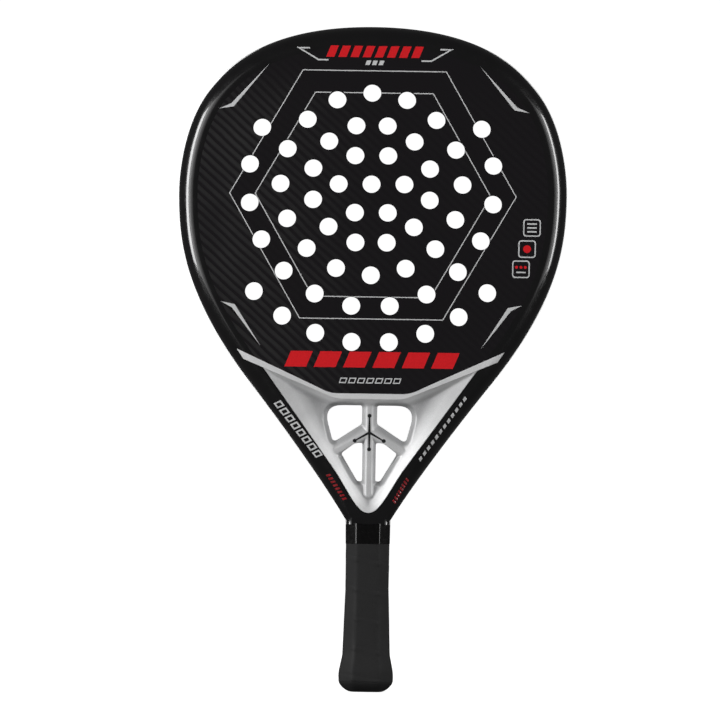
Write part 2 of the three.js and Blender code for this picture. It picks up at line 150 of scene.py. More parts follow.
# Windows' right-hand pair: corners across and up, each with how far it is rounded back.
UPPER_WINDOW = ((5.1, 179.0, 1.5), (24.2, 166.4, 3.5), (31, 191.4, 13), (5.1, 191.4, 1.5))
LOWER_WINDOW = (
    (4.5, 140.6, 1.4), (7.6, 140.6, 1.4), (18.6, 159.2, 1.5), (9.4, 166.3, 2.5), (4.5, 166.3, 1),
)
INLAY_WIDTH = 0.9
INLAY_ARM = 11.2
INLAY_DOT = 1.25

# Handle: half sizes across and through, bevel, and the wrap's pitch.
SHAFT_X = 14.3
SHAFT_Y = 16.5
SHAFT_BEVEL = 6.8
BEVEL_LOSS = 2 - math.sqrt(2)
FLARE_X = 18.06
FLARE_Y = 18.9
GRIP_THICKNESS = 1.6
GRIP_CLEARANCE = 0.3
SLEEVE_WALL = 1.3
HANDLE_TOP_Z = 111.5
HANDLE_BASE_Z = 14
HANDLE_PROFILE = (
    (7, 18.1), (12, 18.45), (18, 17.3), (25, 15.75), (36, 14.8), (50, 14.35), (80, 14.5), (111.5, 14.6),
)
WRAP_PITCH = 19.8
WRAP_PHASE = 10.0
SEAM_DEPTH = 0.16
SEAM_HALF = 0.8
SEAM_ROLL = 0.08
RIDGE_ROLL = 0.35
RIDGE_ANGLE = 24.4
RIDGE_REACH = 9
TAPE_BOTTOM_Z = 99
TAPE_ROUNDING = 0.6
TAPE_LIP = 3.0
FOOT_ROUNDING = 2.3
LEG_GAP_HALF = 3.6
# Below the handle's top: where the gap between the legs ends, where they meet, where the neck starts.
LEG_JOIN_DEPTHS = (9, 7.5, 3)
CORD_HOLE_RADIUS = 3.3
CORD_HOLE_OFFSET = 6.5
CORD_HOLE_DEPTH = 14
SKIRT_INSET = 2.0
CAP_SHARP = 38

# Printed marks: how far they stand out, and the rows down the legs, each as its start, end, count,
# width, height, slant and whether it is only outlined.
CROWN_INK = 0.05
LEG_INK = 0.08
PALE_LEG_ROWS = (
    ((-62.4, 193.6), (-32.6, 156.4), 8, 4.4, 5.0, 1.2, True),
    ((33.2, 154.6), (64.6, 198.4), 12, 2.6, 1.9, 0.8, False),
)
RED_LEG_ROWS = (
    ((-27.6, 145.6), (-15.3, 127.9), 8, 1.4, 2.7, 0.9, False),
    ((16.7, 126.6), (26.3, 143.3), 8, 1.3, 2.6, 0.9, False),
)
BADGE_CENTRES = ((106.5, 311.6), (103.4, 297.4), (99.5, 283.9))


# ---- plane geometry ----
def lerp(a, b, t):
    return a + (b - a) * t


def clamp01(t):
    return min(1.0, max(0.0, t))


def smoothstep(t):
    t = clamp01(t)
    return t * t * (3 - 2 * t)


def bezier(points, steps):
    """Points of a cubic Bezier curve, its first and last ones included."""
    result = []
    for i in range(steps + 1):
        t = i / steps
        weights = ((1 - t) ** 3, 3 * t * (1 - t) ** 2, 3 * t * t * (1 - t), t**3)
        result.append(sum((w * Vector(p) for w, p in zip(weights, points)), Vector((0, 0))))
    return result


def handle(joint, distance):
    x, z, lean = joint[:3]
    angle = math.radians(lean)
    return (x + distance * math.sin(angle), z + distance * math.cos(angle))


def span(low, high, steps):
    points = (low[:2], handle(low, low[4]), handle(high, -high[3]), high[:2])
    return bezier(points, steps)


def evenly(points, steps):
    """The same polyline with its points at equal steps along it."""
    lengths = [0.0]
    for a, b in zip(points, points[1:]):
        lengths.append(lengths[-1] + (b - a).length)
    result = []
    j = 0
    for i in range(steps + 1):
        at = lengths[-1] * i / steps
        while j < len(points) - 2 and lengths[j + 1] < at:
            j += 1
        part = (at - lengths[j]) / (lengths[j + 1] - lengths[j])
        result.append(points[j].lerp(points[j + 1], clamp01(part)))
    return result


def left_of(way):
    return Vector((-way.y, way.x))


def inward_normals(points):
    """Unit normals to the left of an open polyline's way."""
    last = len(points) - 1
    ends = [(points[max(i - 1, 0)], points[min(i + 1, last)]) for i in range(last + 1)]
    return [left_of((b - a).normalized()) for a, b in ends]


def leg_outside(steps):
    return evenly(span(NECK, SHOULDER, 200), steps)


def head_outside():
    joints = (SHOULDER, WIDEST, CROWN_CORNER, CROWN)
    points = [Vector(SHOULDER[:2])]
    for low, high, steps in zip(joints, joints[1:], OUTLINE_STEPS[1:]):
        points += evenly(span(low, high, 200), steps)[1:]
    return points


def head_inside(distance):
    outside = head_outside()
    normals = inward_normals(outside)
    normals[-1] = Vector((0, -1))
    return [p + n * distance for p, n in zip(outside, normals)]


def throat_edge():
    """The opening's right side, from its round bottom up to the inside of the shoulder."""
    bottom = bezier((V_BOTTOM, *V_HANDLES, V_MIDDLE), 40)
    return bottom + [head_inside(TUBE_WIDTH)[0]]


def bend(distance):
    """Zero on one side of a knee and the distance past it on the other, with a round change."""
    if abs(distance) < KNEE_REACH:
        return (distance + KNEE_REACH) ** 2 / (4 * KNEE_REACH)
    return max(0, distance)


def band_top(x):
    return BAND_Z + BAND_SLOPE * bend(abs(x) - BAND_FLAT_HALF)


def ledge_bottom(x):
    return LEDGE_Z + LEDGE_SLOPE * bend(abs(x) - LEDGE_FLAT_HALF)


def knee(line, middle, raise_by):
    """Points round a knee of one of the lines above, outwards from the middle."""
    xs = [middle - KNEE_REACH + i * KNEE_REACH / 4 for i in range(9)]
    return [Vector((x, line(x) + raise_by)) for x in xs]


def with_mirror(right):
    """A closed loop, anticlockwise, from its right half that runs upwards."""
    loop = list(right)
    for p in flipped(right):
        if (p - loop[-1]).length > 1e-3 and (p - loop[0]).length > 1e-3:
            loop.append(p)
    return loop


def crossing(points, over):
    """Where a function of the points along a polyline turns positive: the point there, and the
    index of the last point before it."""
    for i, (a, b) in enumerate(zip(points, points[1:])):
        if over(a) <= 0 < over(b):
            return a.lerp(b, over(a) / (over(a) - over(b))), i
    raise ValueError("the line never crosses")


def face_loop(inset, raise_by):
    """The face inside the frame, closed below by a line parallel to the insert's top."""
    rim = head_inside(inset)
    corner, last = crossing(rim, lambda p: p.y - band_top(p.x) - raise_by)
    return with_mirror(knee(band_top, BAND_FLAT_HALF, raise_by) + [corner] + rim[last + 1:])


def insert_loop(inset):
    """The throat insert's outline, closed above by the band's top."""
    edge = throat_edge()
    normals = inward_normals(edge)
    normals[0] = Vector((0, 1))
    side = [p + n * inset for p, n in zip(edge, normals)]
    side += head_inside(TUBE_WIDTH + inset)[1:INSERT_RIM_POINTS]
    corner, last = crossing(side, lambda p: p.y - band_top(p.x) + inset)
    top = knee(band_top, BAND_FLAT_HALF, -inset)
    return with_mirror(side[:last + 1] + [corner] + top[::-1])


def round_corner(before, corner, after, reach, steps):
    """A quadratic curve in place of a corner, starting and ending at a distance from it."""
    start = corner + (before - corner).normalized() * reach
    end = corner + (after - corner).normalized() * reach
    ts = [k / steps for k in range(steps + 1)]
    return [start * (1 - t) ** 2 + corner * 2 * t * (1 - t) + end * t * t for t in ts]


def rounded(corners):
    """A closed outline from corners across and up, each with how far it is rounded back."""
    at = [Vector(corner[:2]) for corner in corners]
    loop = []
    for i, corner in enumerate(corners):
        loop += round_corner(at[i - 1], at[i], at[(i + 1) % len(at)], corner[2], 8)
    return loop


def flipped(loop):
    return [Vector((-p.x, p.y)) for p in reversed(loop)]


def window_loops():
    right = [rounded(UPPER_WINDOW), rounded(LOWER_WINDOW)]
    return right + [flipped(loop) for loop in right]


def disc(x, z, radius, steps=HOLE_STEPS):
    turn = 2 * math.pi / steps
    angles = [i * turn for i in range(steps)]
    return [Vector((x + radius * math.cos(a), z + radius * math.sin(a))) for a in angles]


def hole_centres(turned=False):
    """The holes' centres as seen from the front, or from the rear on a turned face."""
    centres = []
    for radius, first, step, count in HOLE_RINGS:
        for i in range(count):
            angle = math.radians(first + step * i + HOLE_TURN)
            x = HOLE_CENTRE[0] + radius * math.sin(angle)
            centres.append((-x if turned else x, HOLE_CENTRE[1] + radius * math.cos(angle)))
    return centres


def grown(loop, distance):
    """A closed anticlockwise loop with each point moved outwards along its corner's bisector."""
    result = []
    for i, p in enumerate(loop):
        before = (p - loop[i - 1]).normalized()
        after = (loop[(i + 1) % len(loop)] - p).normalized()
        out = -left_of(before + after).normalized()
        stretch = max(0.4, out.dot(-left_of(before)))
        result.append(p + out * (distance / stretch))
    return result


def stroke(points, width):
    """The outline of a line of one width, with square ends and mitred corners."""
    points = [Vector(p) for p in points]
    sides = []
    for i, p in enumerate(points):
        ways = []
        if i > 0:
            ways.append((p - points[i - 1]).normalized())
        if i < len(points) - 1:
            ways.append((points[i + 1] - p).normalized())
        way = sum(ways, Vector((0, 0))).normalized()
        across = left_of(way)
        reach = width / 2 / max(0.3, abs(across.dot(left_of(ways[0]))))
        sides.append((p + across * reach, p - across * reach))
    return [low for _, low in sides] + [high for high, _ in reversed(sides)]


def slanted(x, z, width, height, slant):
    """A parallelogram round a centre, leaning to the right by slant over its height."""
    corners = ((-1, -1), (1, -1), (1, 1), (-1, 1))
    return [Vector((x + a * width / 2 + b * slant / 2, z + b * height / 2)) for a, b in corners]


def rounded_square(x, z, size, radius):
    return rounded([(p.x, p.y, radius) for p in slanted(x, z, size, size, 0)])


def row(count, pitch, middle=0):
    """Places at an even pitch, centred on a middle."""
    return [middle + (i - (count - 1) / 2) * pitch for i in range(count)]


# ---- triangulated patches ----
def patch(paints, extra=(), lines=(), union=False):
    """Triangles over closed loops painted one over another. Each paint is a loop and its colour, and
    a colour of None cuts a hole. Nothing shows outside the first loop, except in a union. Returns
    the points, the triangles and each triangle's colour."""
    points = []
    faces = []
    for loop, _ in paints:
        faces.append(list(range(len(points), len(points) + len(loop))))
        points += [Vector(p) for p in loop]
    edges = []
    for line in lines:
        first = len(points)
        points += [Vector(p) for p in line]
        edges += [(first + i, first + i + 1) for i in range(len(line) - 1)]
    points += [Vector(p) for p in extra]
    made = delaunay_2d_cdt(points, edges, faces, 0, 1e-4, True)
    corners, triangles, owners = made[0], made[2], made[5]
    kept = []
    colours = []
    for triangle, owner in zip(triangles, owners):
        shown = owner and (union or 0 in owner)
        colour = paints[max(owner)][1] if shown else None
        if colour is None:
            continue
        a, b, c = (corners[i] for i in triangle)
        area = (b - a).cross(c - a)
        if abs(area) < 1e-7:
            continue
        kept.append(tuple(triangle) if area > 0 else tuple(reversed(triangle)))
        colours.append(colour)
    used = sorted({i for triangle in kept for i in triangle})
    number = {old: new for new, old in enumerate(used)}
    kept = [tuple(number[i] for i in triangle) for triangle in kept]
    return [corners[i] for i in used], kept, colours


def rim_of(points, triangles):
    """The patch's outer and inner edges, and the way out of the patch at each of their points."""
    edges = {(t[i], t[(i + 1) % 3]) for t in triangles for i in range(3)}
    rim = [(a, b) for a, b in edges if (b, a) not in edges]
    outs = {}
    for a, b in rim:
        way = (points[b] - points[a]).normalized()
        out = Vector((way.y, -way.x))
        outs.setdefault(a, []).append(out)
        outs.setdefault(b, []).append(out)
    moves = {}
    for i, both in outs.items():
        mean = sum(both, Vector((0, 0))).normalized()
        moves[i] = mean / max(0.4, mean.dot(both[0]))
    return sorted(rim), moves


def slab(points, triangles, front, back, bevel):
    """A closed solid over a patch, between two lists of Y. Its rims stand out by a small bevel."""
    rim, moves = rim_of(points, triangles)
    count = len(points)
    verts = [(p.x, y, p.y) for p, y in zip(points, front)]
    verts += [(p.x, y, p.y) for p, y in zip(points, back)]
    faces = list(triangles)
    faces += [tuple(count + i for i in reversed(t)) for t in triangles]
    lips = {}
    for i, move in moves.items():
        at = points[i] + move * bevel
        lips[i] = len(verts)
        verts.append((at.x, front[i] + bevel, at.y))
        verts.append((at.x, back[i] - bevel, at.y))
    for a, b in rim:
        faces.append((b, a, lips[a], lips[b]))
        faces.append((lips[b], lips[a], lips[a] + 1, lips[b] + 1))
        faces.append((lips[b] + 1, lips[a] + 1, count + a, count + b))
    return verts, faces


# ---- meshes ----
def placed(name, data):
    made = bpy.data.objects.new(name, data)
    bpy.context.scene.collection.objects.link(made)
    return made


def shade_smooth(mesh, sharp):
    """Smooth shading, but for edges sharper than an angle in degrees."""
    mesh.polygons.foreach_set("use_smooth", [True] * len(mesh.polygons))
    mesh.set_sharp_from_angle(angle=math.radians(sharp))


def piece(name, verts, faces, materials, colours=(), sharp=32, turned=False):
    """An object from points in millimetres. A turned piece is for the rear, half a turn round Z."""
    way = -MM if turned else MM
    mesh = bpy.data.meshes.new(name)
    mesh.from_pydata([(x * way, y * way, z * MM) for x, y, z in verts], [], faces)
    for material in materials:
        mesh.materials.append(material)
    for i, colour in enumerate(colours):
        mesh.polygons[i].material_index = colour
    work = bmesh.new()
    work.from_mesh(mesh)
    bmesh.ops.remove_doubles(work, verts=work.verts, dist=2e-6)
    bmesh.ops.dissolve_degenerate(work, edges=work.edges, dist=1e-7)
    bmesh.ops.recalc_face_normals(work, faces=work.faces)
    work.to_mesh(mesh)
    work.free()
    shade_smooth(mesh, sharp)
    return placed(name, mesh)


def keep(made, slot, *nodes):
    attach(made, "root")
    if nodes:
        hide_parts(*nodes)
    return made


def loft(rings, closed_ends=True):
    """Verts and faces of a skin through closed rings of equal point count."""
    size = len(rings[0])
    verts = [p for ring in rings for p in ring]
    faces = []
    for i in range(len(rings) - 1):
        here, there = i * size, (i + 1) * size
        for j in range(size):
            k = (j + 1) % size
            faces.append((here + j, here + k, there + k, there + j))
    if closed_ends:
        faces.append(tuple(reversed(range(size))))
        faces.append(tuple(range(len(verts) - size, len(verts))))
    return verts, faces


def joined(*parts):
    verts = []
    faces = []
    for more_verts, more_faces in parts:
        first = len(verts)
        verts += more_verts
        faces += [tuple(first + i for i in face) for face in more_faces]
    return verts, faces


# ---- materials ----
class Paint:
    """A material's node tree, with short calls for the textures that this racket's finishes use."""

    def __init__(self, name, constants):
        self.material = bpy.data.materials.new(name)
        self.material.use_nodes = True
        self.tree = self.material.node_tree
        self.shader = self.tree.nodes["Principled BSDF"]
        for socket, value in constants.items():
            self.shader.inputs[socket].default_value = value
        self.place = self.tree.nodes.new("ShaderNodeTexCoord").outputs["Object"]

    def node(self, kind, inputs, **settings):
        made = self.tree.nodes.new(kind)
        for setting, value in settings.items():
            setattr(made, setting, value)
        for socket, value in inputs.items():
            if isinstance(value, bpy.types.NodeSocket):
                self.tree.links.new(value, made.inputs[socket])
            else:
                made.inputs[socket].default_value = value
        return made

    def noise(self, size, detail=2.0, roughness=0.5):
        """Soft noise with spots about size millimetres wide."""
        inputs = {"Vector": self.place, "Scale": 1 / (size * MM), "Detail": detail, "Roughness": roughness}
        return self.node("ShaderNodeTexNoise", inputs).outputs["Fac"]

    def cells(self, size):
        inputs = {"Vector": self.place, "Scale": 1 / (size * MM)}
        return self.node("ShaderNodeTexVoronoi", inputs).outputs["Distance"]

    def math(self, operation, a, b=0.0):
        return self.node("ShaderNodeMath", {0: a, 1: b}, operation=operation).outputs[0]

    def spread(self, value, low, high, to_low=0.0, to_high=1.0, smooth=False):
        kind = "SMOOTHSTEP" if smooth else "LINEAR"
        inputs = {"Value": value, "From Min": low, "From Max": high, "To Min": to_low, "To Max": to_high}
        return self.node("ShaderNodeMapRange", inputs, interpolation_type=kind).outputs["Result"]

    def blend(self, factor, low, high):
        """A colour between two colours."""
        mix = self.node("ShaderNodeMix", {"Factor": factor}, data_type="RGBA")
        mix.inputs[6].default_value = (*low, 1)
        mix.inputs[7].default_value = (*high, 1)
        return mix.outputs[2]

    def across(self, angle, pitch):
        """Distance, in pitches, at right angles to lines that fall to the right at an angle."""
        split = self.node("ShaderNodeSeparateXYZ", {"Vector": self.place})
        turn = math.radians(angle)
        side = self.math("MULTIPLY", split.outputs["X"], math.sin(turn) / (pitch * MM))
        up = self.math("MULTIPLY", split.outputs["Z"], math.cos(turn) / (pitch * MM))
        return self.math("ADD", side, up)

    def axis(self, name):
        return self.node("ShaderNodeSeparateXYZ", {"Vector": self.place}).outputs[name]

    def link(self, value, socket):
        self.tree.links.new(value, self.shader.inputs[socket])

    def colour(self, factor, low, high):
        self.link(self.blend(factor, low, high), "Base Color")

    def rough(self, value, low, high, from_low=0.3, from_high=0.7):
        """Roughness from a value, which as soft noise mostly lies between 0.3 and 0.7."""
        self.link(self.spread(value, from_low, from_high, low, high), "Roughness")

    def bump(self, height, depth, strength=1.0):
        inputs = {"Height": height, "Distance": depth * MM, "Strength": strength}
        self.link(self.node("ShaderNodeBump", inputs).outputs["Normal"], "Normal")


def lacquer():
    """Black gloss lacquer: faint cloudy depth, polishing haze and a little orange peel."""
    paint = Paint("black_lacquer", {"Coat Weight": 1.0, "Coat Roughness": 0.05, "Coat IOR": 1.5})
    cloud = paint.noise(30, 3)
    paint.colour(cloud, (0.0050, 0.0048, 0.0052), (0.0085, 0.0081, 0.0086))
    paint.rough(paint.noise(9, 4), 0.18, 0.27)
    paint.bump(paint.noise(2.6, 1), 0.003, 0.3)
    return paint.material


def carbon(name, twill_strength):
    """Carbon laminate under gloss: broad diagonal bands over a fine twill. A painted sheen makes the bands
    lighter and clearer towards the left; they also fade towards the crown.
    """
    paint = Paint(name, {"Coat Weight": 1.0, "Coat Roughness": 0.06, "Coat IOR": 1.5})
    wander = paint.spread(paint.noise(26, 2), 0, 1, -0.22, 0.22)
    position = paint.math("ADD", paint.across(42, 4.7), wander)
    wave = paint.math("FRACT", position)
    rise = paint.spread(wave, 0.0, 0.42, smooth=True)
    fall = paint.spread(wave, 0.55, 1.0, 1.0, 0.0, smooth=True)
    band = paint.math("MULTIPLY", rise, fall)
    # Painted sheen: the bands are painted lighter towards the left, and they fade towards the crown.
    left = paint.spread(paint.axis("X"), -0.095, 0.02, 1.0, 0.12, smooth=True)
    crown = paint.spread(paint.axis("Z"), 0.375, 0.425, 1.0, 0.1, smooth=True)
    left = paint.math("MULTIPLY", left, crown)
    patchy = paint.spread(paint.noise(34, 3), 0.3, 0.75, 0.45, 1.0)
    amount = paint.math("MULTIPLY", paint.math("MULTIPLY", band, left), patchy)
    amount = paint.math("MULTIPLY", amount, twill_strength)
    tow = paint.math("FRACT", paint.across(-48, 0.9))
    thread = paint.spread(tow, 0.0, 1.0, 0.82, 1.12)
    amount = paint.math("MULTIPLY", amount, thread)
    paint.colour(amount, (0.0078, 0.0064, 0.0080), (0.0255, 0.0252, 0.0253))
    paint.rough(amount, 0.22, 0.42, 0, 1)
    relief = paint.math("ADD", band, paint.spread(tow, 0, 1, 0, 0.35))
    paint.bump(relief, 0.02, 0.3)
    return paint.material


def ink(name, low, high, metallic):
    """Screen print under the gloss coat, a little uneven."""
    constants = {"Coat Weight": 1.0, "Coat Roughness": 0.08, "Metallic": metallic}
    paint = Paint(name, constants)
    paint.colour(paint.spread(paint.noise(1.2, 4), 0.3, 0.7), low, high)
    paint.rough(paint.noise(0.5, 2), 0.3, 0.42, 0.2, 0.8)
    return paint.material


def silver(name, shaded):
    """Silver paint with a fine flake that glints unevenly. On the insert it carries painted shade:
    darker in the hollows and towards the insert's upper corners."""
    constants = {"Metallic": 0.2, "Coat Weight": 0.4, "Coat Roughness": 0.22}
    paint = Paint(name, constants)
    flake = paint.cells(0.35)
    cloud = paint.noise(14, 3)
    tone = paint.math("ADD", paint.spread(flake, 0.1, 0.7, 0, 0.6), paint.spread(cloud, 0.3, 0.7, 0, 0.4))
    shade = 0.0
    if shaded:
        # Painted shade: the colour darkens with depth below the face and towards the insert's upper
        # corners.
        bottom, top = TAPER_BOTTOM_Z * MM, TAPER_TOP_Z * MM
        level = paint.spread(paint.axis("Z"), bottom, top, NECK_HALF_THICKNESS * MM, HALF_THICKNESS * MM)
        depth = paint.math("SUBTRACT", level, paint.math("ABSOLUTE", paint.axis("Y")))
        across = paint.math("ABSOLUTE", paint.axis("X"))
        corner = paint.spread(across, 0.024, 0.05, 0.0, 0.6, smooth=True)
        shade = paint.math("ADD", paint.spread(depth, 0.0024, 0.0058), corner)
    tone = paint.math("SUBTRACT", paint.math("MULTIPLY", tone, 0.35), paint.math("MULTIPLY", shade, 0.65))
    tone = paint.spread(tone, -0.65, 0.35)
    paint.colour(tone, (0.38, 0.382, 0.388), (0.97, 0.972, 0.975))
    paint.rough(flake, 0.38, 0.5, 0.05, 0.65)
    paint.bump(paint.noise(0.3, 2), 0.006, 0.35)
    return paint.material


def foam():
    """Closed-cell EVA foam, nearly black, with fine pores."""
    paint = Paint("core_foam", {"Specular IOR Level": 0.3})
    pores = paint.cells(0.5)
    paint.colour(paint.spread(pores, 0.1, 0.6), (0.014, 0.014, 0.015), (0.045, 0.045, 0.047))
    paint.rough(pores, 0.95, 0.75, 0, 0.7)
    paint.bump(pores, 0.12, 0.7)
    return paint.material


def bare_composite():
    """Unpainted laminate inside the handle and the bridge."""
    paint = Paint("bare_laminate", {"Specular IOR Level": 0.45})
    tow = paint.spread(paint.math("SINE", paint.math("MULTIPLY", paint.across(45, 1.6), math.tau)), -1, 1)
    paint.colour(tow, (0.010, 0.010, 0.011), (0.028, 0.028, 0.030))
    paint.rough(paint.noise(3, 3), 0.4, 0.6)
    paint.bump(tow, 0.05, 0.5)
    return paint.material


def black_inlay():
    paint = Paint("inlay_black", {"Coat Weight": 0.3, "Coat Roughness": 0.2})
    paint.colour(paint.noise(0.8, 3), (0.006, 0.006, 0.007), (0.012, 0.012, 0.013))
    paint.rough(paint.noise(0.4, 2), 0.4, 0.55)
    return paint.material


def grip():
    """Polyurethane grip: matte, with a fine leather grain, small pores and handled, darker patches."""
    constants = {"Specular IOR Level": 0.38, "Sheen Weight": 0.12, "Sheen Roughness": 0.5}
    paint = Paint("grip_polyurethane", constants)
    grain = paint.noise(0.7, 5, 0.62)
    wear = paint.noise(22, 3)
    tone = paint.math("ADD", paint.spread(grain, 0.3, 0.7, 0, 0.55), paint.spread(wear, 0.3, 0.7, 0, 0.45))
    paint.colour(tone, (0.0090, 0.0090, 0.0092), (0.0190, 0.0188, 0.0192))
    paint.rough(wear, 0.62, 0.8)
    height = paint.math("ADD", grain, paint.math("MULTIPLY", paint.cells(1.1), 0.5))
    paint.bump(height, 0.09, 0.55)
    return paint.material


def tape():
    """Glossy finishing tape: stretched vinyl with faint lengthwise pulls."""
    paint = Paint("finishing_vinyl", {"Specular IOR Level": 0.5})
    pulls = paint.noise(2.4, 4, 0.6)
    paint.colour(pulls, (0.0022, 0.0020, 0.0021), (0.0040, 0.0037, 0.0038))
    paint.rough(pulls, 0.2, 0.29)
    paint.bump(pulls, 0.03, 0.25)
    return paint.material


def cap_plastic():
    """Moulded end cap with a fine spark-eroded texture."""
    paint = Paint("cap_moulding", {"Specular IOR Level": 0.4})
    spark = paint.noise(0.35, 3)
    paint.colour(paint.noise(7, 3), (0.0135, 0.0135, 0.0138), (0.0215, 0.0215, 0.0218))
    paint.rough(spark, 0.5, 0.72)
    paint.bump(spark, 0.03, 0.5)
    return paint.material


def steel():
    paint = Paint("staple_wire", {"Metallic": 1.0})
    drawn = paint.noise(0.3, 3)
    paint.colour(drawn, (0.42, 0.43, 0.44), (0.6, 0.61, 0.62))
    paint.rough(drawn, 0.25, 0.42)
    return paint.material


LACQUER = lacquer()
CARBON = carbon("carbon_face", 1.0)
PLAIN_FACE = carbon("plain_face", 0.12)
RED_INK = ink("red_print", (0.78, 0.007, 0.013), (0.88, 0.011, 0.018), 0.0)
DIM_RED_INK = ink("dim_red_print", (0.30, 0.006, 0.012), (0.38, 0.009, 0.016), 0.0)
SILVER_INK = ink("silver_print", (0.74, 0.745, 0.75), (0.84, 0.845, 0.85), 0.1)
# The insert's silver carries painted shade; the band's silver is the same paint without it.
SILVER = silver("silver_paint_with_painted_shade", True)
BAND_SILVER = silver("band_silver", False)
FOAM = foam()
COMPOSITE = bare_composite()
INLAY = black_inlay()
GRIP = grip()
TAPE = tape()
CAP = cap_plastic()
STEEL = steel()


# ---- frame tube ----
def half_thickness(z):
    rise = clamp01((z - TAPER_BOTTOM_Z) / (TAPER_TOP_Z - TAPER_BOTTOM_Z))
    return lerp(NECK_HALF_THICKNESS, HALF_THICKNESS, rise)


def sleeve(inset):
    """Half sizes and bevel of the octagon under the grip, at an inset from the sleeve's outside."""
    back = GRIP_THICKNESS + GRIP_CLEARANCE + inset
    return SHAFT_X - back, SHAFT_Y - back, SHAFT_BEVEL - back * BEVEL_LOSS


def section(width, half, edge, drop, roundness, channel, bevel):
    """Half of the tube's section, from the middle of its side to the middle of its inner wall, as
    distance in from the outline and distance from the racket's middle plane."""
    side = half - drop
    points = []
    for i in range(9):
        y = side * i / 9
        dip = 0.5 + 0.5 * math.cos(math.pi * min(1, y / CHANNEL_HALF))
        points.append((channel * dip, y))
    for i in range(19):
        angle = math.pi / 2 * i / 18
        straight = (edge * i / 18, side + drop * i / 18)
        bent = (edge * (1 - math.cos(angle)), side + drop * math.sin(angle))
        points.append((lerp(straight[0], bent[0], roundness), lerp(straight[1], bent[1], roundness)))
    bevel_start = width - INNER_BEVEL
    points.append((lerp(edge, bevel_start, 0.5), half))
    points.append((bevel_start, half))
    points.append((width, half - bevel))
    points.append((width, half * 0.5))
    return points


def tube_stations():
    """The right half's stations, as (outer point, inner point, half thickness, edge, drop, roundness)."""
    x, y, bevel = sleeve(SLEEVE_WALL)
    top = HANDLE_TOP_Z
    gap_end, meeting, neck = (top - depth for depth in LEG_JOIN_DEPTHS)
    stations = []
    for z, inner in ((HANDLE_BASE_Z, LEG_GAP_HALF), (gap_end, LEG_GAP_HALF), (meeting, 0), (neck, 0)):
        stations.append((Vector((x, z)), Vector((inner, z)), y, bevel, bevel, 0))
    steps = OUTLINE_STEPS[0]
    outside = leg_outside(steps)
    inside = evenly(throat_edge(), steps)
    start = outside[0]
    for z, t in ((top + 0.05, 0), (top + 0.1, 0.93), (top + 0.5, 1)):
        outer = Vector((lerp(x, start.x, t), z))
        inner = Vector((0, z))
        edge = lerp(bevel, NECK_EDGE, t)
        stations.append((outer, inner, lerp(y, half_thickness(0), t), edge, edge, t))
    for i, (outer, inner) in enumerate(zip(outside, inside)):
        t = smoothstep(i / NECK_BLEND_STEPS)
        edge = lerp(NECK_EDGE, SHOULDER_WIDTH, t)
        drop = lerp(NECK_EDGE, SHOULDER_DROP, t)
        stations.append((outer, inner, half_thickness(outer.y), edge, drop, 1))
    rim = head_outside()[1:]
    inner_rim = head_inside(TUBE_WIDTH)[1:]
    for outer, inner in zip(rim, inner_rim):
        stations.append((outer, inner, half_thickness(outer.y), SHOULDER_WIDTH, SHOULDER_DROP, 1))
    return stations


def frame_tube():
    verts = []
    rings = []
    split = []
    for outer, inner, half, edge, drop, roundness in tube_stations():
        way = inner - outer
        width = way.length
        way.normalize()
        up = smoothstep((outer.y - CHANNEL_LOW_Z) / CHANNEL_FADE)
        down = smoothstep((CHANNEL_HIGH_Z - outer.y) / CHANNEL_FADE)
        bevel = INNER_BEVEL if inner.x > 0 else 0
        front = section(width, half, edge, drop, roundness, CHANNEL_DEPTH * up * down, bevel)
        ring = [(u, -y) for u, y in front] + [(width, 0)] + [(u, y) for u, y in reversed(front[1:])]
        rings.append(range(len(verts), len(verts) + len(ring)))
        split.append(inner.x > 1e-6)
        for u, y in ring:
            at = outer + way * u
            level = half_thickness(at.y) / half_thickness(outer.y) if roundness == 1 else 1
            verts.append((max(at.x, 0), y * level, at.y))
    size = len(rings[0])
    wall = [j for j in range(size) if abs(j - size // 2) <= 2]
    faces = [tuple(rings[0])]
    for i in range(len(rings) - 1):
        for j in range(size):
            k = (j + 1) % size
            merged = not split[i] and not split[i + 1]
            if merged and i < len(rings) - 2 and j in wall and k in wall:
                continue
            faces.append((rings[i][j], rings[i][k], rings[i + 1][k], rings[i + 1][j]))
    left_verts = [(-x, y, z) for x, y, z in verts]
    left_faces = [tuple(reversed(face)) for face in faces]
    return joined((verts, faces), (left_verts, left_faces))


# ---- surfaces that lie on the frame ----
def tree_of(made):
    work = bmesh.new()
    work.from_mesh(made.data)
    tree = BVHTree.FromBMesh(work)
    work.free()
    return tree


def surface_y(tree, p):
    """Y of the frame's front surface straight in from a point, or of the level face beside it."""
    level = -half_thickness(p.y)
    hit = tree.ray_cast(Vector((p.x * MM, -0.1, p.y * MM)), Vector((0, 1, 0)))[0]
    if hit is None or hit.y / MM > level + SHOULDER_DROP:
        return level
    return hit.y / MM


def inner_grid(loops, spacing, clear):
    """Grid points inside the first loop and clear of every loop."""
    outer = np.array([tuple(p) for p in loops[0]])
    low, high = outer.min(0), outer.max(0)
    xs = np.arange(low[0] + spacing / 2, high[0], spacing)
    zs = np.arange(low[1] + spacing / 2, high[1], spacing)
    grid = np.array([(x, z) for z in zs for x in xs])
    keep_it = inside(grid, loops[0])
    for loop in loops:
        keep_it &= distance(grid, loop, True) > clear
    return [Vector(p) for p in grid[keep_it]]


def inside(points, loop):
    result = np.zeros(len(points), bool)
    for i, p in enumerate(loop):
        q = loop[(i + 1) % len(loop)]
        if p.y == q.y:
            continue
        crosses = (p.y > points[:, 1]) != (q.y > points[:, 1])
        at = p.x + (q.x - p.x) * (points[:, 1] - p.y) / (q.y - p.y)
        result ^= crosses & (points[:, 0] < at)
    return result


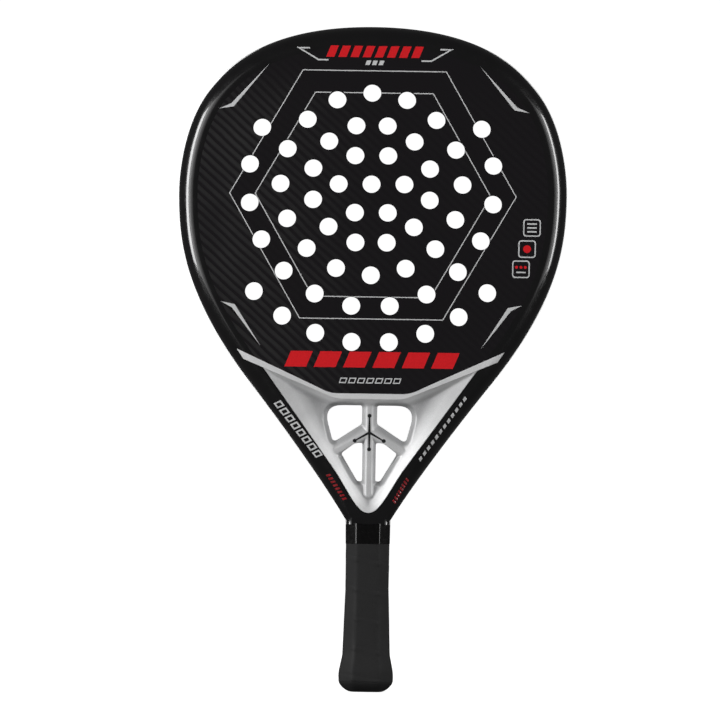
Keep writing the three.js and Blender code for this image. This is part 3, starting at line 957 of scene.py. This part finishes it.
def distance(points, line, closed=False):
    """Each point's distance from a polyline."""
    best = np.full(len(points), 1e9)
    last = len(line) if closed else len(line) - 1
    for i in range(last):
        a = np.array(tuple(line[i]))
        way = np.array(tuple(line[(i + 1) % len(line)])) - a
        along = np.clip((points - a) @ way / max(way @ way, 1e-12), 0, 1)
        best = np.minimum(best, np.linalg.norm(points - a - along[:, None] * way, axis=1))
    return best


def split_edges(loop, longest):
    result = []
    for i, p in enumerate(loop):
        q = loop[(i + 1) % len(loop)]
        steps = max(1, math.ceil((q - p).length / longest))
        result += [p.lerp(q, k / steps) for k in range(steps)]
    return result


def decal(name, plates, tree, material, slot, height, turned):
    """Thin plates that follow the frame's front surface, each an outline and any openings in it."""
    parts = []
    for loops in plates:
        fine = [split_edges(loop, 0.8) for loop in loops]
        layers = [(fine[0], 0)] + [(loop, None) for loop in fine[1:]]
        points, triangles, _ = patch(layers, inner_grid(fine, 1.2, 0.35))
        surface = [surface_y(tree, p) for p in points]
        front = [y - height for y in surface]
        back = [y + 0.3 for y in surface]
        parts.append(slab(points, triangles, front, back, min(0.04, height / 2)))
    return keep(piece(name, *joined(*parts), [material], turned=turned), slot)


def along_leg(start, end, count, width, height, slant, hollow):
    """A row of slanted marks between two points, each a loop with an optional opening."""
    start, end = Vector(start), Vector(end)
    way = (end - start).normalized()
    across = left_of(way)
    rows = []
    for i in range(count):
        centre = start.lerp(end, (i + 0.5) / count)
        loops = [slanted(0, 0, width, height, slant)]
        if hollow:
            loops.append(slanted(0, 0, width - 2.0, height - 2.0, slant * 0.6))
        rows.append([[centre + way * p.x + across * p.y for p in loop] for loop in loops])
    return rows


def band():
    """The raised band along the insert's top, whose two tips run on over the frame."""
    right = knee(ledge_bottom, LEDGE_FLAT_HALF, 0)
    right.append(Vector((TIP_LOW_X, ledge_bottom(TIP_LOW_X))))
    right.append(Vector((TIP_HIGH_X, band_top(TIP_HIGH_X))))
    right += reversed(knee(band_top, BAND_FLAT_HALF, -GAP))
    return with_mirror(right)


# ---- face skins ----
FACE_MATERIALS = [CARBON, PLAIN_FACE, SILVER_INK, RED_INK]
WEAVE, BLACK, PALE, RED = range(4)


def line_art():
    """Two nested hexagons of fine line, with plain black between them."""
    centre_z = 332
    fine = 0.75
    loops = []
    for radius, filling in ((96, BLACK), (79, WEAVE)):
        loops.append((disc(0, centre_z, radius, 6), PALE))
        loops.append((disc(0, centre_z, radius - fine, 6), filling))
    return loops


def corner_ticks():
    upper = [Vector(p) for p in ((70.5, 418.5), (93.7, 389.8), (103.5, 388.2), (95.3, 391.9))]
    lower = [Vector(p) for p in ((73.6, 230.3), (93.1, 255.7), (100.5, 259.6), (91.2, 257.8))]
    loops = []
    for tick in (upper, lower):
        loops += [(tick, PALE), (flipped(tick), PALE)]
    return loops


def title_marks():
    """A row of red bars between two brackets, and three small dashes under them."""
    loops = [(slanted(x, 427.6, 5.4, 7.6, 3.0), RED) for x in row(8, 8.1)]
    bracket = stroke(((43.5, 429.6), (50.9, 429.6), (37.6, 421.8), (31, 421.8)), 0.95)
    loops += [(bracket, PALE), (flipped(bracket), PALE)]
    return loops + [(slanted(x, 420.2, 2.9, 3.0, 1.1), PALE) for x in row(3, 4.4)]


def lower_marks():
    """A row of wide red blocks above a row of small outlined ones."""
    loops = [(slanted(x, 222.0, 14.6, 10.6, 4.4), RED) for x in row(6, 19.6, 1)]
    for x in row(7, 6.0):
        loops.append((slanted(x, 208, 4.6, 3.7, 1.2), PALE))
        loops.append((slanted(x, 208, 3.2, 2.3, 0.75), BLACK))
    return loops


def badges():
    """Three rounded squares down the right side: with bars, with a dot, and with dots over a bar."""
    loops = []
    for x, z in BADGE_CENTRES:
        loops.append((rounded_square(x, z, 11.7, 2.3), PALE))
        loops.append((rounded_square(x, z, 10.1, 1.6), BLACK))
    (bars_x, bars_z), dot, (dots_x, dots_z) = BADGE_CENTRES
    loops += [(slanted(bars_x, z, 6.4, 1.0, 0), PALE) for z in row(3, -2.6, bars_z)]
    loops.append((disc(*dot, 2.6, 24), RED))
    loops += [(disc(x, dots_z + 1.3, 1.0, 16), RED) for x in row(3, 2.9, dots_x)]
    loops.append((slanted(dots_x, dots_z - 2.1, 6.4, 0.9, 0), PALE))
    return loops


def level_slab(paints, low, high, bevel):
    """A flat solid over a patch, between two levels of Y, and each triangle's colour."""
    points, triangles, colours = patch(paints)
    verts, faces = slab(points, triangles, [low] * len(points), [high] * len(points), bevel)
    return verts, faces, colours


def face_skin(name, turned):
    """One skin with its printed marks, drilled right through."""
    paints = [(face_loop(TUBE_WIDTH, GAP), WEAVE)] + line_art() + lower_marks() + badges()
    paints += [(disc(x, z, HOLE_RADIUS + HOLE_BEVEL), None) for x, z in hole_centres(turned)]
    verts, faces, colours = level_slab(paints, -HALF_THICKNESS, -HALF_THICKNESS + SKIN, HOLE_BEVEL)
    return piece(name, verts, faces, FACE_MATERIALS, colours, turned=turned)


def head_core():
    """The foam between the skins, with the same holes a hair wider."""
    paints = [(face_loop(TUBE_WIDTH + CORE_SIDE_GAP, CORE_RAISE), 0)]
    paints += [(disc(x, z, HOLE_RADIUS + 0.06), None) for x, z in hole_centres()]
    reach = HALF_THICKNESS - SKIN - 0.02
    verts, faces, _ = level_slab(paints, -reach, reach, 0.01)
    return piece("core_block", verts, faces, [FOAM])


# ---- throat insert ----
def smooth_min(a, b, blend):
    h = np.clip(0.5 + 0.5 * (b - a) / blend, 0, 1)
    return b + (a - b) * h - blend * h * (1 - h)


def rib_lines():
    arm = math.radians(RIB_DROOP)
    lines = [[Vector((0, RIB_FOOT_Z)), Vector((0, LEDGE_Z + 2))]]
    for side in (-1, 1):
        tip = Vector((side * RIB_REACH * math.cos(arm), HUB_Z - RIB_REACH * math.sin(arm)))
        lines.append([Vector((0, HUB_Z)), tip])
    return lines


def sink(points):
    """How far the insert's face lies below the frame's at each point: a level band along the top,
    land that falls away from the legs and from the band, ribs, and a sloping border to each window.
    The land falls more steeply lower down."""
    flat = np.array([tuple(p) for p in points])
    folded = np.abs(flat * (1, 0)) + flat * (0, 1)
    from_leg = distance(folded, throat_edge())
    ledge = np.array([ledge_bottom(x) for x in flat[:, 0]])
    under = np.maximum(0, ledge - flat[:, 1]) * math.cos(math.atan(LEDGE_SLOPE))
    rise = np.clip((flat[:, 1] - LAND_LOW_Z) / (LAND_HIGH_Z - LAND_LOW_Z), 0, 1)
    slope = lerp(LOW_LAND_SLOPE, HIGH_LAND_SLOPE, rise)
    land = smooth_min(slope * from_leg, np.full(len(flat), LAND_DEPTH), 1.2)
    land = smooth_min(land, UNDER_BAND_SLOPE * under, 1.6)
    land = np.maximum(0, land)
    to_window = np.min([distance(flat, loop, True) for loop in window_loops()], axis=0)
    land += np.maximum(0, FUNNEL - to_window)
    to_rib = np.min([distance(flat, line) for line in rib_lines()], axis=0)
    rib = RIB_DEPTH + np.maximum(0, to_rib - RIB_RIDGE_HALF)
    deep = np.maximum(0, smooth_min(land, rib, 0.7))
    return np.where(flat[:, 1] > ledge, 0, deep)


def insert_surface():
    """The insert's patch, its bevels left out, with a crease along the foot of its band."""
    outline = grown(insert_loop(GAP), -INSERT_BEVEL)
    windows = [grown(loop, INSERT_BEVEL) for loop in window_loops()]
    fine = [split_edges(outline, 1.0)] + windows
    steps = [x * 1.5 for x in range(-48, 49)]
    crease = [Vector((x, ledge_bottom(x))) for x in steps]
    crease = [p for p in crease if inside(np.array([tuple(p)]), outline)[0]][1:-1]
    below = [p - Vector((0, 0.4)) for p in crease]
    grid = inner_grid(fine, INSERT_GRID, 0.4)
    paints = [(fine[0], 0)] + [(loop, None) for loop in windows]
    return patch(paints, grid, [crease, below])


def throat_insert():
    points, triangles, _ = insert_surface()
    deep = sink(points)
    front = [d - half_thickness(p.y) for p, d in zip(points, deep)]
    back = [-y for y in front]
    verts, faces = slab(points, triangles, front, back, INSERT_BEVEL)
    return piece("silver_throat", verts, faces, [SILVER], sharp=40)


def inlay(name, turned):
    """The pinstripe cross set into the ribs, with a round stud at each tip."""
    arms = []
    for angle in (90, -90, -RIB_DROOP, 180 + RIB_DROOP):
        turn = math.radians(angle)
        base = Vector((0, HUB_Z))
        tip = base + Vector((math.cos(turn), math.sin(turn))) * INLAY_ARM
        across = left_of((tip - base).normalized())
        wide, narrow = across * INLAY_WIDTH * 0.85, across * INLAY_WIDTH * 0.4
        arms.append(([base - wide, tip - narrow, tip + narrow, base + wide], 0))
        arms.append((disc(tip.x, tip.y, INLAY_DOT, 28), 0))
    points, triangles, _ = patch(arms, union=True)
    deep = sink(points)
    front = [d - half_thickness(p.y) - 0.12 for p, d in zip(points, deep)]
    back = [y + 0.6 for y in front]
    verts, faces = slab(points, triangles, front, back, 0.06)
    return piece(name, verts, faces, [INLAY], turned=turned)


# ---- handle ----
def profile_x(z):
    """The wrapped handle's half width at a height, averaged over 6 mm to smooth its profile."""
    heights, widths = zip(*HANDLE_PROFILE)
    return sum(np.interp(z + offset, heights, widths) for offset in (-3, -1.5, 0, 1.5, 3)) / 5


def depth_for(x):
    flare = clamp01((x - SHAFT_X) / (FLARE_X - SHAFT_X))
    return lerp(SHAFT_Y, FLARE_Y, flare) + min(0, x - SHAFT_X)


def octagon(x, y, bevel, rounding, steps):
    """An octagon's points, anticlockwise from the middle of the front, with rounded corners."""
    right = [(x - bevel, -y), (x, -y + bevel), (x, y - bevel), (x - bevel, y)]
    corners = [Vector(p) for p in right] + [-Vector(p) for p in right]
    points = []
    for i, corner in enumerate(corners):
        after = corners[(i + 1) % 8]
        points += round_corner(corners[i - 1], corner, after, rounding, steps)
        following = after + (corner - after).normalized() * rounding
        points += [points[-1].lerp(following, k / 4) for k in (1, 2, 3)]
    return points


def seam_dip(angle, z):
    """How far the wrap's surface dips at a seam: a soft groove whose lower edge stands a little,
    most where it crosses the handle's front and rear ridges."""
    turn = (z - WRAP_PHASE) / WRAP_PITCH + angle / math.tau
    offset = (turn - round(turn)) * WRAP_PITCH
    groove = max(0, 1 - abs(offset) / SEAM_HALF) ** 1.5
    roll = max(0, 1 - abs(offset + 2.4) / 2.4)
    fold = abs(math.degrees(angle)) % 180
    ridge = min(abs(fold - RIDGE_ANGLE), abs(180 - fold - RIDGE_ANGLE))
    height = SEAM_ROLL + RIDGE_ROLL * smoothstep(1 - ridge / RIDGE_REACH)
    return SEAM_DEPTH * groove - height * smoothstep(roll)


def handle_ring(z, inset, dips, rounding=1.6):
    x = float(profile_x(z))
    bevel = SHAFT_BEVEL * x / SHAFT_X - inset * BEVEL_LOSS
    ring = []
    for p in octagon(x - inset, depth_for(x) - inset, bevel, rounding, 3):
        dip = seam_dip(math.atan2(p.x, -p.y), z) if dips else 0
        at = p - p.normalized() * dip
        ring.append((at.x, at.y, z))
    return ring


def base_grip():
    low, high = HANDLE_PROFILE[0][0], HANDLE_TOP_Z
    steps = 210
    heights = [lerp(low, high, i / steps) for i in range(steps + 1)]
    outside = [handle_ring(low, 0.1, False)]
    outside += [handle_ring(z, 0, True) for z in heights[1:]]
    within = [handle_ring(z, GRIP_THICKNESS, False) for z in (high, low)]
    rings = outside + within + [outside[0]]
    return piece("grip_wrap", *loft(rings, False), [GRIP], sharp=45)


def finishing_tape():
    """The tape over the wrap's top end. Its upper edge climbs at both sides."""
    low, high = TAPE_BOTTOM_Z, HANDLE_TOP_Z
    rows = (
        (low, 0, 0), (low + 0.2, -0.22, 0), (lerp(low, high, 0.5), -0.3, 0), (high - 2, -0.34, 0),
        (high - 0.4, -0.4, 1), (high, -0.36, 1), (high + 0.15, -0.1, 1),
    )
    rings = []
    for z, inset, rides in rows:
        ring = handle_ring(z, inset, False, TAPE_ROUNDING)
        rings.append([(x, y, h + rides * TAPE_LIP * smoothstep((abs(x) - 4) / 10)) for x, y, h in ring])
    rings += [handle_ring(z, 0.9, False, TAPE_ROUNDING) for z in (high, low)]
    rings.append(rings[0])
    return piece("finishing_tape_wrap", *loft(rings, False), [TAPE], sharp=40)


def butt_cap():
    """A rounded foot under the grip, with a skirt up inside it and two cord holes."""
    start = HANDLE_PROFILE[0][0]
    foot = (
        (0, 8.6), (0.2, 7.4), (0.6, 6.2), (1.2, 5.0), (2, 3.8), (3, 2.6), (4, 1.7), (5, 0.9), (6, 0.35),
        (start - 0.1, 0.1),
    )
    rings = []
    for z, inset in foot:
        rings.append([(x, y, z) for x, y, _ in handle_ring(start, inset, False, FOOT_ROUNDING)])
    rings.append(handle_ring(start, SKIRT_INSET, False, 2.4))
    rings += [handle_ring(z, SKIRT_INSET, False) for z in (12, 18, 25)]
    made = piece("butt_cap_moulding", *loft(rings), [CAP], sharp=CAP_SHARP)
    for side in (-1, 1):
        drill(made, side * CORD_HOLE_OFFSET, CORD_HOLE_RADIUS, CORD_HOLE_DEPTH)
    return made


def drill(made, x, radius, depth):
    """Cuts a blind hole upwards from the foot, with a small chamfer at its mouth."""
    rows = ((-1, radius + 1.3), (0.35, radius + 0.35), (0.7, radius), (depth, radius))
    steps = 40
    turns = [math.tau * i / steps for i in range(steps)]
    rings = [[(x + r * math.cos(turn), r * math.sin(turn), z) for turn in turns] for z, r in rows]
    cutter = piece("cutter", *loft(rings), [CAP])
    cut = made.modifiers.new("drill", "BOOLEAN")
    cut.operation = "DIFFERENCE"
    cut.solver = "EXACT"
    cut.object = cutter
    shape = bpy.data.meshes.new_from_object(made.evaluated_get(bpy.context.evaluated_depsgraph_get()))
    made.modifiers.clear()
    made.data = shape
    bpy.data.objects.remove(cutter)
    shade_smooth(shape, CAP_SHARP)


# ---- assembly ----
def build():
    tube = piece("lacquered_frame", *frame_tube(), [LACQUER], sharp=30)
    keep(tube, "frame_lacquer", "frame_tube")
    keep(face_skin("front_skin", False), "face_laminate", "front_face")
    keep(face_skin("rear_skin", True), "face_laminate", "rear_face")
    keep(head_core(), "foam", "head_core")
    keep(throat_insert(), "silver_lacquer", "throat_insert")
    keep(inlay("front_pinstripe", False), "inlay", "front_inlay")
    keep(inlay("rear_pinstripe", True), "inlay", "rear_inlay")
    keep(base_grip(), "grip", "base_grip")
    keep(finishing_tape(), "tape", "finishing_tape")
    keep(butt_cap(), "cap_plastic", "butt_cap")
    tree = tree_of(tube)
    for where, turned in (("front", False), ("rear", True)):
        decal(where + "_band", [[band()]], tree, BAND_SILVER, "silver_lacquer", BAND_HEIGHT, turned)
        crown = title_marks() + corner_ticks()
        for word, colour, material in (("red", RED, RED_INK), ("pale", PALE, SILVER_INK)):
            loops = [[loop] for loop, paint in crown if paint == colour]
            decal(where + "_crown_marks_" + word, loops, tree, material, "face_laminate", CROWN_INK, turned)
        inks = (("pale", PALE_LEG_ROWS, SILVER_INK), ("red", RED_LEG_ROWS, DIM_RED_INK))
        for word, rows, material in inks:
            loops = [mark for values in rows for mark in along_leg(*values)]
            decal(where + "_leg_marks_" + word, loops, tree, material, "frame_lacquer", LEG_INK, turned)


def finish_cad_nodes():
    """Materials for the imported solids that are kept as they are."""
    finishes = {
        "bridge_tube": COMPOSITE,
        "handle_sleeve": COMPOSITE,
        "handle_core": FOAM,
        "front_staple": STEEL,
        "rear_staple": STEEL,
    }
    for name, material in finishes.items():
        for slot in frame["nodes"][name].material_slots:
            slot.material = material


# ---- camera, light and stage ----
def camera():
    """Straight in front and far off, rolled a little so that the racket leans in the frame."""
    distance_away = 9
    frame_width = 0.4815
    aim = Vector((-0.00697, 0, 0.22174))
    roll = math.radians(0.86)
    data = bpy.data.cameras.new("camera")
    data.sensor_width = 36
    data.lens = 36 * distance_away / frame_width
    data.clip_end = 100
    made = placed("camera", data)
    up = Vector((-math.sin(roll), 0, math.cos(roll)))
    ahead = Vector((0, 1, 0))
    right = ahead.cross(up)
    turn = Matrix((right, up, -ahead)).transposed().to_4x4()
    made.matrix_world = Matrix.Translation(aim - ahead * distance_away) @ turn
    bpy.context.scene.camera = made


# Lights, in metres: how far off and high they are, their length, and for each one its name, angle
# round the racket from straight in front, width and radiance.
LIGHT_DISTANCE = 2.2
LIGHT_HEIGHT = 0.55
LIGHT_LENGTH = 1.6
SOFTBOXES = (
    ("left_key", -62, 0.7, 10.5),
    ("left_fade", -45, 0.4, 2.6),
    ("left_edge", -35, 0.4, 1.1),
    ("left_tail", -25, 0.4, 0.5),
    ("right_key", 63, 0.48, 9.5),
    ("right_fade", 48, 0.4, 1.6),
    ("right_tail", 37, 0.4, 0.6),
    ("left_rear", -158, 0.7, 2.4),
    ("right_rear", 158, 0.7, 1.6),
)


def softbox(name, azimuth, width, radiance):
    """A tall soft light that faces the racket, at an angle round it from straight in front."""
    data = bpy.data.lights.new(name, "AREA")
    data.shape = "RECTANGLE"
    data.size = width
    data.size_y = LIGHT_LENGTH
    data.energy = radiance * width * LIGHT_LENGTH * math.pi
    made = placed(name, data)
    made.visible_camera = False
    turn = math.radians(azimuth)
    made.location = (LIGHT_DISTANCE * math.sin(turn), -LIGHT_DISTANCE * math.cos(turn), LIGHT_HEIGHT)
    aim = Vector((0, 0, LIGHT_HEIGHT)) - made.location
    made.rotation_euler = aim.to_track_quat("-Z", "Y").to_euler()


def glowing(name):
    """Pale matte paint that glows white."""
    constants = {
        "Base Color": (0.8, 0.8, 0.8, 1),
        "Roughness": 0.9,
        "Emission Color": (1, 1, 1, 1),
        "Emission Strength": 1.0,
    }
    return Paint(name, constants)


def floor_white():
    """Pale floor that glows fully white away from the racket, and shows its shadow beside it."""
    paint = glowing("floor_white")
    away = paint.node("ShaderNodeVectorMath", {0: paint.place}, operation="LENGTH").outputs["Value"]
    paint.link(paint.spread(away, 0.1, 0.5, 0.8, 1.0), "Emission Strength")
    return paint.material


def stage():
    """A pale floor under the racket and a white surround. Neither lights the racket or shows in it."""
    reach = 3000
    corners = [(-reach, -reach, 0), (reach, -reach, 0), (reach, reach, 0), (-reach, reach, 0)]
    floor = piece("floor", corners, [(0, 1, 2, 3)], [floor_white()])
    work = bmesh.new()
    bmesh.ops.create_icosphere(work, subdivisions=4, radius=13)
    bmesh.ops.reverse_faces(work, faces=work.faces)
    mesh = bpy.data.meshes.new("surround")
    work.to_mesh(mesh)
    work.free()
    mesh.materials.append(glowing("surround_white").material)
    surround = placed("surround", mesh)
    for made in (floor, surround):
        made.visible_glossy = False
        made.visible_diffuse = False
        made.visible_transmission = False
    surround.visible_shadow = False


def world():
    made = bpy.data.worlds.new("studio")
    bpy.context.scene.world = made
    made.use_nodes = True
    back = made.node_tree.nodes["Background"]
    back.inputs["Color"].default_value = (1, 1, 1, 1)
    back.inputs["Strength"].default_value = 0.05


build()
finish_cad_nodes()
camera()
for values in SOFTBOXES:
    softbox(*values)
world()
stage()
bpy.context.scene.view_settings.view_transform = "Standard"
